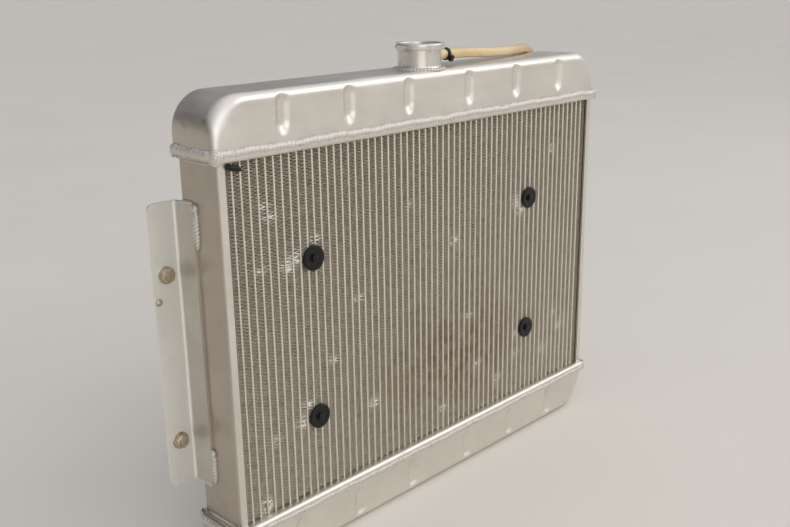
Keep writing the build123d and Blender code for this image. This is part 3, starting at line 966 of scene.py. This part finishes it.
def filler_neck():
    """The open neck: its flared body, its inner seat, and the notched flange with its turned-down skirt."""
    foot = tank_high.z
    top = neck_high.z - foot
    tail = neck_low.z - foot
    place = Matrix.Translation((0, core_y, foot))
    inner = NECK_R - NECK_WALL
    seat = top - SEAT_DEPTH
    flare = 3.6 * MM
    bend = 1.5 * MM
    under_lip = top - CAP_LIP
    lip_r = CAP_R - 3.2 * MM
    body = [(NECK_R, tail), (NECK_R, -0.8 * MM), (NECK_R + 3.2 * MM, -0.8 * MM)]
    body += arc(NECK_R + flare, flare + 0.2 * MM, flare, 262, 180, 8)
    body += [(NECK_R, under_lip - bend)] + arc(NECK_R + bend, under_lip - bend, bend, 180, 90, 4)
    body += [(lip_r, under_lip), (lip_r, top - 0.1 * MM)]
    body += [(inner + 1.6 * MM, top)] + arc(inner + 1.2 * MM, top - 1.2 * MM, 1.2 * MM, 90, 180, 4)
    body += [(inner, seat + 1.5 * MM), (inner - 1.5 * MM, seat)]
    body += [(SEAT_R + 0.6 * MM, seat), (SEAT_R, seat - 0.6 * MM), (SEAT_R, seat - 1.6 * MM)]
    body += [(inner, seat - 1.6 * MM), (inner, tail)]
    parts = [lathe(body, place, 120)]

    def skirt(outer, drop, thick):
        """The outline of the flange's edge with its skirt turned down."""
        round_r, start_r = 1.9 * MM, CAP_R - 3.4 * MM
        outline = [(start_r, top)] + arc(outer - round_r, top - round_r, round_r, 90, 0, 6)
        outline += arc(outer - thick / 2, top - drop + thick / 2, thick / 2, 0, -180, 5)
        return outline + [(outer - thick, top - 2.4 * MM), (start_r, under_lip)]

    stretches = (
        (skirt(CAP_R + 0.5 * MM, CAP_SKIRT + 0.9 * MM, CAP_LIP + 0.5 * MM), 160, 199, 20),
        (skirt(CAP_R, CAP_SKIRT, CAP_LIP), 199, 314, 52),
        (skirt(CAP_R + 0.9 * MM, CAP_SKIRT + 0.4 * MM, CAP_LIP), 196.5, 200.5, 3),
    )
    for half in (0, 180):
        for outline, start, end, count in stretches:
            parts.append(lathe(outline, place, count, (start + half, end + half)))
    hem, near, far = top - CAP_SKIRT, NECK_R - 0.5 * MM, CAP_R - 0.4 * MM
    stop = [(near, hem - 2 * MM), (far, hem - 1.6 * MM), (far, hem + 1 * MM), (near, hem + 1 * MM)]
    parts.append(lathe(stop, place, 4, (250, 258)))
    piece("neck", parts, NECK, "filler_neck", sharp=32)


def hose_necks():
    """The two coolant necks, each with the raised bead that holds a hose."""
    inner = HOSE_NECK_R - HOSE_NECK_WALL
    for name, (low, high) in zip(("inlet", "outlet"), hose_neck_ends):
        centre = (low + high) / 2
        length = high.y - low.y
        place = Matrix.Translation((centre.x, low.y, centre.z)) @ rotation(-90, "X")
        profile = [(HOSE_NECK_R, 0.0), (HOSE_NECK_R, length - 8 * MM)]
        profile += arc(HOSE_NECK_R - 0.4 * MM, length - 5.5 * MM, 1.9 * MM, -70, 70, 8)
        profile += [(HOSE_NECK_R, length - 3 * MM), (HOSE_NECK_R, length - 0.6 * MM)]
        profile += [(HOSE_NECK_R - 0.6 * MM, length), (inner + 0.4 * MM, length), (inner, length - 0.5 * MM)]
        profile += [(inner, 0.0)]
        pipe = lathe(profile, place, 80)
        piece(name + "_pipe", [pipe], NECK, name + "_neck", sharp=40)


# Small parts

def hex_bolt(place, spin):
    """A flanged hexagon head on a washer, with its threaded shank through the hole."""
    washer_r = BOLT_FLANGE_R + 0.5 * MM
    washer = [(4.6 * MM, 0.0), (washer_r, 0.0), (washer_r, 1.3 * MM), (4.6 * MM, 1.5 * MM)]
    flange = [(0.0, 1.3 * MM), (BOLT_FLANGE_R - 1.2 * MM, 1.3 * MM), (BOLT_FLANGE_R - 0.9 * MM, 1.9 * MM)]
    flange += [(BOLT_HEX_R, 3.1 * MM), (0.0, 3.1 * MM)]
    thread_r, root_r, threads = 4 * MM, 3.55 * MM, 16
    shank = [(0.0, 2 * MM), (thread_r, 2 * MM)]
    for i in range(threads):
        shank += [(thread_r, -i * MM), (root_r, -(i + 0.5) * MM)]
    shank += [(0.0, -threads * MM)]
    parts = [lathe(washer, place, 40), lathe(flange, place, 40), lathe(shank, place, 20)]
    seat, bevel = 2.2 * MM, 0.9 * MM
    head = [(seat, 0.0), (seat, BOLT_HEX_R), (BOLT_HEAD - bevel, BOLT_HEX_R), (BOLT_HEAD, BOLT_HEX_R - bevel)]
    points = []
    for level, radius in head:
        reach = radius / math.cos(math.radians(30))
        points.extend(place @ polar(reach, a + math.radians(spin), level) for a in turns(6))
    parts.append((points, grid_faces(4, 6) + [tuple(range(18, 24))]))
    return parts


def facing_front(x, y, z):
    """A place on a front-facing surface, with local Z towards the front."""
    return Matrix.Translation((x, y, z)) @ rotation(90, "X")


def frame_bolts():
    """The four bolts through the side angles' flanges, each turned to its own angle."""
    parts = []
    for i, (sx, sz) in enumerate(((-1, 1), (-1, -1), (1, 1), (1, -1))):
        parts += hex_bolt(facing_front(sx * BOLT_X, -FLANGE_THICK, sz * BOLT_Z), 12 + 23 * i)
    piece("frame_bolts", parts, ZINC, sharp=25)


def small_screw():
    """A pan-head screw with a cross on its head, near the left flange's edge."""
    place = facing_front(angle_low.x + 3.6 * MM, -FLANGE_THICK, 64 * MM)
    head = [(0.0, 0.0), (3.9 * MM, 0.0), (3.9 * MM, 0.5 * MM)] + arc(0, -1 * MM, 4.1 * MM, 25, 80, 6)
    head += [(0.0, 3.1 * MM)]
    parts = [lathe(head, place, 28)]
    long, wide = 2 * MM, 0.4 * MM
    for spin in (20, 110):
        turn = place @ rotation(spin, "Z")
        bar = []
        for z in (2.6 * MM, 3.16 * MM):
            for x, y in ((-long, -wide), (long, -wide), (long, wide), (-long, wide)):
                bar.append(turn @ Vector((x, y, z)))
        parts.append((bar, tube_faces(2, 4)))
    piece("flange_screw", parts, ZINC, sharp=30)


def tie_buttons():
    """The fan's push-through ties: a domed button with a rim and a stud, and its rod."""
    seat = core_low.y - 1.3 * MM
    tail = seat - button_high.y
    rod_r, rim_r = 2.2 * MM, 1.6 * MM
    cap = [(rod_r, tail), (rod_r, 0.0), (BUTTON_R - 0.3 * MM, 0.0)]
    cap += arc(BUTTON_R - rim_r, 1.9 * MM, rim_r, 0, 78, 6)
    cap += [(9 * MM, 3.2 * MM), (5.6 * MM, 2.6 * MM), (4.4 * MM, 2.7 * MM)]
    cap += arc(2.9 * MM, 4.4 * MM, 1.4 * MM, 0, 80, 5) + [(0.0, 5.9 * MM), (0.0, tail)]
    parts = []
    for x in (button_low.x + BUTTON_R, button_high.x - BUTTON_R):
        for z in (button_low.z + BUTTON_R, button_high.z - BUTTON_R):
            parts.append(lathe(cap, facing_front(x, seat, z), 56))
    piece("tie_buttons", parts, TIE_PLASTIC, "fan_ties")


def corner_tie():
    """The black head of a cable tie, tucked under the top header at the core's left edge."""
    centre = Vector((core_low.x + 7.4 * MM, core_low.y - 6 * MM, header_low.z - 5.4 * MM))
    length, half_thick, slope = 16.5 * MM, 3.5 * MM, 0.28
    stations, around = 14, 16
    points = []
    for i in range(stations + 1):
        t = i / stations
        along = (t - 0.5) * length
        size = half_thick * math.sin(math.pi * (0.04 + 0.92 * t)) ** 0.35
        for a in turns(around):
            y, z = size * math.cos(a), 0.95 * size * math.sin(a)
            points.append(centre + Vector((along, y, z - slope * along)))
    skin = (points, tube_faces(stations + 1, around))
    piece("corner_tie", [skin], TIE_PLASTIC, sharp=40)


# Overflow hose

HOSE_START = (29 * MM, core_y, neck_high.z - 15.5 * MM)

# The hose's way over the tank and down behind it: X, Y and Z in millimetres
HOSE_BENDS = (
    (130, -38, 279), (190, -28, 277), (248, -10, 277), (281, 9, 263), (289, 20, 232), (291, 26, 180),
    (286, 25, 112), (289, 22, 40), (285, 24, -30),
)


def overflow_hose():
    """The vinyl hose over the tank and down behind it, with both ends capped."""
    route = [HOSE_START, (75 * MM, core_y, HOSE_START[2])]
    route += [(x * MM, y * MM, z * MM) for x, y, z in HOSE_BENDS]
    curve = bpy.data.curves.new("hose", "CURVE")
    curve.dimensions = "3D"
    spline = curve.splines.new("NURBS")
    spline.points.add(len(route) - 1)
    for point, place in zip(spline.points, route):
        point.co = (*place, 1.0)
    spline.order_u = 3
    spline.use_endpoint_u = True
    spline.resolution_u = 16
    curve.bevel_depth = HOSE_R
    curve.bevel_resolution = 6
    curve.use_fill_caps = True
    curve.materials.append(VINYL)
    hose = add_piece("hose", curve, "overflow_hose")


def hose_band():
    """The cable tie on the hose's end: a crowned strap and its square head."""
    spot = Vector((HOSE_START[0] + 16.5 * MM, core_y, HOSE_START[2]))
    place = Matrix.Translation(spot) @ rotation(90, "Y")
    strap = [(HOSE_R + 0.1 * MM, -2.3 * MM), (HOSE_R + 1.3 * MM, -2.1 * MM), (HOSE_R + 1.5 * MM, 0.0)]
    strap += [(HOSE_R + 1.3 * MM, 2.1 * MM), (HOSE_R + 0.1 * MM, 2.3 * MM)]
    parts = [lathe(strap, place, 48)]
    head = place @ rotation(-62, "Z") @ Matrix.Translation((HOSE_R + 3.2 * MM, 0, 0))
    half_x, half_y, half_z = 3.4 * MM, 3.6 * MM, 2.8 * MM
    around = 12
    points = []
    for z, scale in ((-1.0, 0.82), (-0.75, 1.0), (0.75, 1.0), (1.0, 0.82)):
        for a in turns(around):
            x = math.copysign(abs(math.cos(a)) ** 0.4, math.cos(a)) * scale
            y = math.copysign(abs(math.sin(a)) ** 0.4, math.sin(a)) * scale
            points.append(head @ Vector((x * half_x, y * half_y, z * half_z)))
    parts.append((points, tube_faces(4, around)))
    piece("hose_band", parts, TIE_PLASTIC, "hose_tie", sharp=40)


# Fan

def fan_blades():
    """The pitched blades: wider and flatter towards their rounded tips, swept, with a crowned section."""
    centre = (blade_low + blade_high) / 2
    run = (blade_high.x - blade_low.x) / 2 - BLADE_ROOT_R
    stations, around = 18, 20
    parts = []
    for facing in turns(BLADES):
        spin = Matrix.Rotation(math.radians(-90), 3, "X") @ Matrix.Rotation(facing, 3, "Z")
        points = []
        for i in range(stations + 1):
            t = i / stations
            radius = BLADE_ROOT_R + run * t
            chord = (34 + 12 * t) * MM * (1 - 0.55 * smooth_step(t, 0.9, 1.0))
            pitch = math.radians(38 - 16 * t)
            sweep = math.radians(14 * t * t)
            for a in turns(around):
                across = 0.5 * chord * math.cos(a)
                through = BLADE_HALF_THICK * math.sin(a) + BLADE_CROWN * math.sin(a) ** 2
                y = across * math.cos(pitch) - through * math.sin(pitch)
                h = across * math.sin(pitch) + through * math.cos(pitch)
                points.append(centre + spin @ polar(radius, sweep + y / radius, h))
        parts.append((points, tube_faces(stations + 1, around)))
    piece("blades", parts, FAN_PLASTIC, "fan_blades", body=FAN, sharp=50)


def dress_cad_nodes():
    """Finishes for the CAD pieces that stay as they are."""
    finishes = {
        "top_header": HEADER, "bottom_header": HEADER, "core_side_plates": TUBE,
        "side_channel_left": CHANNEL, "side_channel_right": CHANNEL,
        "side_angle_left": ANGLE, "side_angle_right": ANGLE,
        "overflow_nipple": BRASS, "drain_cock": BRASS,
        "fan_shroud": FAN_PLASTIC, "fan_hub": FAN_PLASTIC, "fan_motor": MOTOR_PAINT,
        "fan_tie_locks": TIE_PLASTIC, "fan_pads": FOAM,
    }
    for name, material in finishes.items():
        mesh = nodes[name].data
        mesh.materials.clear()
        mesh.materials.append(material)


# Stage

PHOTO_WIDTH = 790
FOCAL_PIXELS = 964.7
CAMERA_PLACE = (-825.3 * MM, -805.5 * MM, 374.1 * MM)
CAMERA_AZIMUTH = -45.63
CAMERA_ELEVATION = 16.73
CAMERA_ROLL = 0.86
FLOOR_DROP = 2 * MM
FLOOR_REACH = 90
BRIGHT_SIDE = (0.25, -0.5, 0.6)
LAMP_WHITE = (1.0, 0.97, 0.93)


def camera():
    """The camera at the photograph's viewing angle."""
    data = bpy.data.cameras.new("camera")
    data.sensor_width = 36.0
    data.lens = data.sensor_width * FOCAL_PIXELS / PHOTO_WIDTH
    data.clip_start = 0.01
    made = add_object("camera", data)
    turn = rotation(CAMERA_AZIMUTH, "Z") @ rotation(90 - CAMERA_ELEVATION, "X") @ rotation(-CAMERA_ROLL, "Z")
    made.matrix_world = Matrix.Translation(CAMERA_PLACE) @ turn
    bpy.context.scene.camera = made


def lamp(name, place, size, power):
    """A soft rectangular lamp that looks at the object's middle."""
    data = bpy.data.lights.new(name, "AREA")
    data.shape = "RECTANGLE"
    data.size, data.size_y = size
    data.energy = power
    data.color = LAMP_WHITE
    made = add_object(name, data)
    made.location = place
    made.rotation_euler = (-Vector(place)).to_track_quat("-Z", "Y").to_euler()


def floor():
    """A wide pale floor just under the object."""
    s = Shader("floor_pale", specular=0.2)
    s.colour(s.mix(s.steps(s.noise(1.5), 0.3, 0.7), (0.80, 0.755, 0.69), (0.83, 0.785, 0.72)))
    s.roughness(s.steps(s.noise(6), 0.3, 0.7, 0.75, 0.85))
    mesh = bpy.data.meshes.new("floor")
    signs = ((-1, -1), (1, -1), (1, 1), (-1, 1))
    square = [(sx * FLOOR_REACH, sy * FLOOR_REACH, cad_low[2] - FLOOR_DROP) for sx, sy in signs]
    mesh.from_pydata(square, [], [(0, 1, 2, 3)])
    mesh.materials.append(s.material)
    add_object("floor", mesh)


def sky():
    """A dome that is brighter towards the front and overhead, with a pale band at its horizon."""
    dark, bright, pale = (0.15, 0.155, 0.165), (0.92, 0.93, 0.96), (0.60, 0.575, 0.54)
    world = bpy.data.worlds.new("studio")
    bpy.context.scene.world = world
    world.use_nodes = True
    g = Graph(world.node_tree, "Generated")
    facing = g.node("ShaderNodeVectorMath", operation="DOT_PRODUCT")
    facing.inputs[1].default_value = BRIGHT_SIDE
    g.link(g.place, facing.inputs[0])
    dome = g.mix(g.steps(facing.outputs["Value"], -0.02, 0.62), dark, bright)
    horizon = g.steps(g.axis("Z"), 0.07, 0.17, 1.0, 0.0)
    g.link(g.mix(horizon, dome, pale), g.tree.nodes["Background"].inputs["Color"])


camera()
overflow_hose()
hose_band()
tank_skin("top_tank_skin", "top_tank", tank_low, tank_high, 1)
tank_skin("bottom_tank_skin", "bottom_tank", sump_low, sump_high, -1)
all_welds()
tubes()
fins()
filler_neck()
hose_necks()
frame_bolts()
small_screw()
tie_buttons()
corner_tie()
fan_blades()
dress_cad_nodes()
floor()
sky()
lamp("key", (2.1, -2.2, 2.0), (3.2, 2.2), 20)
lamp("front", (-1.6, -2.4, 0.9), (2.0, 1.6), 10)
bpy.context.scene.view_settings.view_transform = "Standard"
